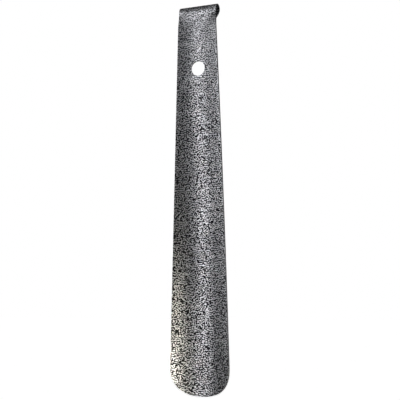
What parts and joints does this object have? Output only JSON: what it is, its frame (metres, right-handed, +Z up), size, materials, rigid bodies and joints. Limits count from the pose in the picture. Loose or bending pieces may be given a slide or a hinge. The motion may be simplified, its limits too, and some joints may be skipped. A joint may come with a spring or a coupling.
{
  "type": "long shoehorn",
  "caption": "Long metal shoehorn: a tapered steel trough with a rounded shoe end, a round hanging hole and a rolled hook at the top.",
  "frame": {"origin": "middle of the hanging hole, half way through the sheet", "axes": "+Z up the strip towards the hook, -Y out of the hollow side of the trough, X across the strip"},
  "size_m": [0.0486, 0.0162, 0.305],
  "materials": {
    "coated_steel": "silver and black vein powder coat, semi-gloss, fine raised texture"
  },
  "bodies": {
    "root": {"shoehorn": "coated_steel"}
  },
  "joints": []
}
